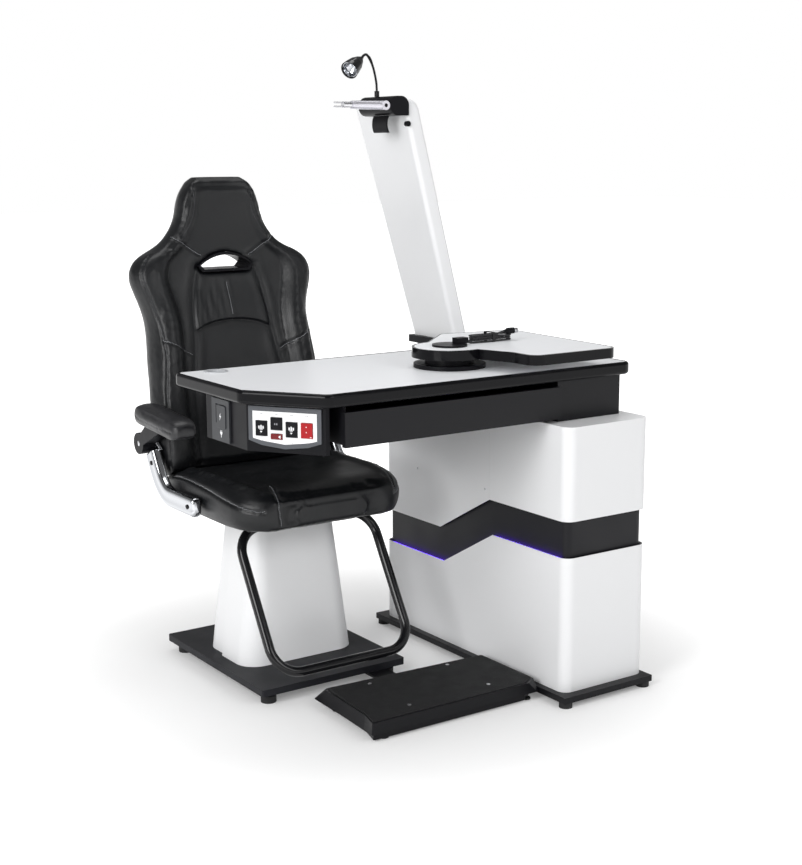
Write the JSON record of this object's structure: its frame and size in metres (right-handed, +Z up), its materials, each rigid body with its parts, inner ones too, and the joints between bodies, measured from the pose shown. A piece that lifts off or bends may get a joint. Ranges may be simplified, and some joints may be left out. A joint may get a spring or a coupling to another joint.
{
  "type": "ophthalmic examination unit",
  "caption": "Eye examination workstation: lifting reclined chair on a pedestal, footboard, lifting cabinet with instrument table, swivel tray, leaning column, arm and gooseneck lamp.",
  "frame": {"origin": "on the floor, at the centre of the whole unit's outline", "axes": "+X along the table from the chair to the cabinet, +Y towards the back of the chair, +Z up"},
  "size_m": [1.048, 1.064, 1.6211],
  "materials": {
    "white_paint": "satin white paint",
    "dark_paint": "dark slate powder coat",
    "black_paint": "satin black paint",
    "gloss_black_paint": "glossy black paint",
    "lift_metal": "anodised",
    "rubber_black": "matte",
    "ribbed_mat": "ribbed",
    "steel": "brushed",
    "led_glow": "translucent violet-blue",
    "black_sleeve": "satin black",
    "table_laminate": "pale grey laminate",
    "black_edge": "glossy black",
    "grey_plastic": "dark grey",
    "white_plastic": "glossy white",
    "black_plastic": "satin black",
    "red_plastic": "glossy red",
    "dark_red_plastic": "glossy dark red",
    "silver_paint": "satin silver",
    "chrome": "polished",
    "black_leather": "stitched black upholstery",
    "pad_rubber": "soft textured black"
  },
  "bodies": {
    "base": {"base_plate": "dark_paint", "floor_feet": "rubber_black", "pedestal_cover": "white_paint", "chair_lift_outer": "lift_metal", "footboard_body": "black_paint", "footboard_mat": "ribbed_mat", "footboard_screws": "steel", "cabinet_frame": "black_paint", "lower_shell": "white_paint", "led_strip": "led_glow", "table_lift_outer": "lift_metal"},
    "seat": {"chair_lift_inner": "lift_metal", "seat_pan": "black_paint", "footbar": "gloss_black_paint", "seat_cushion": "black_leather", "backrest": "black_leather", "handle_ring": "black_plastic", "left_arm_bracket": "chrome", "right_arm_bracket": "chrome"},
    "left_armrest": {"left_arm_pivot": "black_plastic", "left_arm_pad": "pad_rubber"},
    "right_armrest": {"right_arm_pivot": "black_plastic", "right_arm_pad": "pad_rubber"},
    "table": {"table_lift_inner": "lift_metal", "upper_shell": "white_paint", "service_panel": "white_paint", "band_sleeve": "black_sleeve", "table_top": "table_laminate", "table_edge": "black_edge", "cable_grommet": "grey_plastic", "drawer_housing": "black_paint", "apron_box": "black_paint", "drawer_rails": "steel", "control_housing": "black_plastic", "panel_bezel": "grey_plastic", "panel_face": "white_plastic", "socket_plate": "grey_plastic", "turntable_base": "black_plastic", "column": "white_paint", "column_collar": "black_plastic", "arm_head": "black_plastic", "arm_grip": "black_plastic"},
    "drawer": {"drawer_tray": "black_paint", "drawer_front": "black_paint"},
    "chair_rocker": {"chair_switch": "black_plastic"},
    "lamp_rocker": {"lamp_switch": "black_plastic"},
    "reading_rocker": {"reading_switch": "dark_red_plastic"},
    "table_rocker": {"table_switch": "black_plastic"},
    "power_rocker": {"power_switch": "red_plastic"},
    "tray": {"tray_edge": "black_edge", "tray_board": "table_laminate", "tray_cap": "black_plastic", "lead_hank": "rubber_black", "lead_plug": "black_plastic"},
    "arm": {"arm_tube": "silver_paint"},
    "arm_rod": {"arm_extension": "steel"},
    "lamp": {"lamp_neck": "black_paint"},
    "shade": {"lamp_shade": "gloss_black_paint", "lamp_reflector": "chrome"},
    "release": {"lock_button": "black_plastic"}
  },
  "joints": [
    {"name": "chair_lift", "type": "slide", "parent": "base", "child": "seat", "axis": [0, 0, 1], "range_m": [0, 0.14]},
    {"name": "left_armrest_flip", "type": "hinge", "parent": "seat", "child": "left_armrest", "pos_m": [-0.4303, 0.398, 0.608], "axis": [-1, 0, 0], "range_deg": [0, 90]},
    {"name": "right_armrest_flip", "type": "hinge", "parent": "seat", "child": "right_armrest", "pos_m": [0.0863, 0.398, 0.608], "axis": [-1, 0, 0], "range_deg": [0, 90]},
    {"name": "table_lift", "type": "slide", "parent": "base", "child": "table", "axis": [0, 0, 1], "range_m": [0, 0.18]},
    {"name": "drawer_slide", "type": "slide", "parent": "table", "child": "drawer", "axis": [0, -1, 0], "range_m": [0, 0.25]},
    {"name": "chair_rocker_tilt", "type": "hinge", "parent": "table", "child": "chair_rocker", "pos_m": [-0.47846, -0.28891, 0.7555], "axis": [0.5913, -0.8065, 0], "range_deg": [-7, 7], "stiffness_Nm_per_rad": 0.5},
    {"name": "table_rocker_tilt", "type": "hinge", "parent": "table", "child": "table_rocker", "pos_m": [-0.43471, -0.34859, 0.7555], "axis": [0.5913, -0.8065, 0], "range_deg": [-7, 7], "stiffness_Nm_per_rad": 0.5},
    {"name": "power_rocker_tilt", "type": "hinge", "parent": "table", "child": "power_rocker", "pos_m": [-0.41283, -0.37844, 0.7555], "axis": [0.5913, -0.8065, 0], "range_deg": [-7, 7]},
    {"name": "lamp_rocker_tilt", "type": "hinge", "parent": "table", "child": "lamp_rocker", "pos_m": [-0.45659, -0.31876, 0.7675], "axis": [0, 0, 1], "range_deg": [-7, 7]},
    {"name": "reading_rocker_tilt", "type": "hinge", "parent": "table", "child": "reading_rocker", "pos_m": [-0.45659, -0.31876, 0.738], "axis": [0, 0, 1], "range_deg": [-7, 7]},
    {"name": "tray_swivel", "type": "hinge", "parent": "table", "child": "tray", "pos_m": [0.086, -0.237, 0.868], "axis": [0, 0, 1], "range_deg": [-180, 0]},
    {"name": "arm_tilt", "type": "hinge", "parent": "table", "child": "arm", "pos_m": [0.108, 0.084, 1.486], "axis": [0, 1, 0], "range_deg": [-75, 20]},
    {"name": "arm_reach", "type": "slide", "parent": "arm", "child": "arm_rod", "axis": [-1, 0, 0], "range_m": [0, 0.055]},
    {"name": "lamp_turn", "type": "hinge", "parent": "table", "child": "lamp", "pos_m": [0.148, 0.176, 1.5113], "axis": [0, 0, 1], "range_deg": [-110, 10]},
    {"name": "shade_tilt", "type": "hinge", "parent": "lamp", "child": "shade", "pos_m": [0.101, 0.176, 1.61], "axis": [0.3919, -0.92, 0], "range_deg": [-20, 20]},
    {"name": "lock_button_press", "type": "slide", "parent": "table", "child": "release", "axis": [0, 1, 0], "range_m": [0, 0.002], "stiffness_N_per_m": 400}
  ]
}
